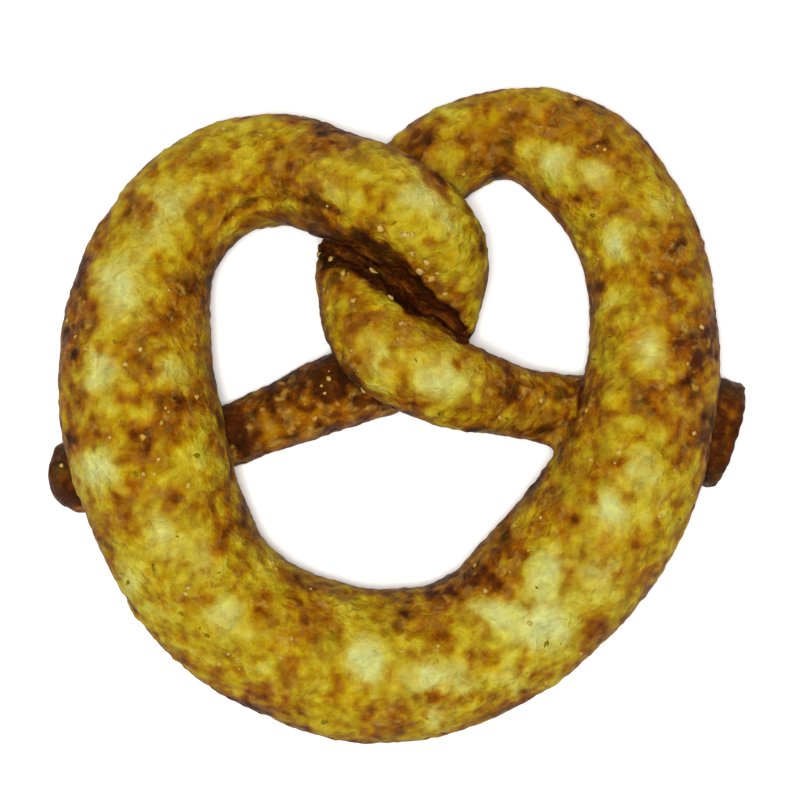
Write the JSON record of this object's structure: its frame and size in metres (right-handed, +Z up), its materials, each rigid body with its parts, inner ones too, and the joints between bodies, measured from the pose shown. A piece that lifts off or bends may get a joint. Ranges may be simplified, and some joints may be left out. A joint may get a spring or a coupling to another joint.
{
  "type": "soft pretzel",
  "caption": "Soft baked pretzel: one thick rope of dough with its arms twisted in the middle, its tails tucked under the loop and a mottled golden baked topping.",
  "frame": {"origin": "under the middle of the pretzel's bounding box, on the surface that it lies on", "axes": "+Z up from the flat underside, +X across the pretzel towards its wider, cut tail end, +Y from the belly towards the two lobes"},
  "size_m": [0.1504, 0.1412, 0.0317],
  "materials": {
    "baked_crust": "baked bread crust, matte, mottled golden and brown"
  },
  "bodies": {
    "root": {"pretzel": "baked_crust"}
  },
  "joints": []
}
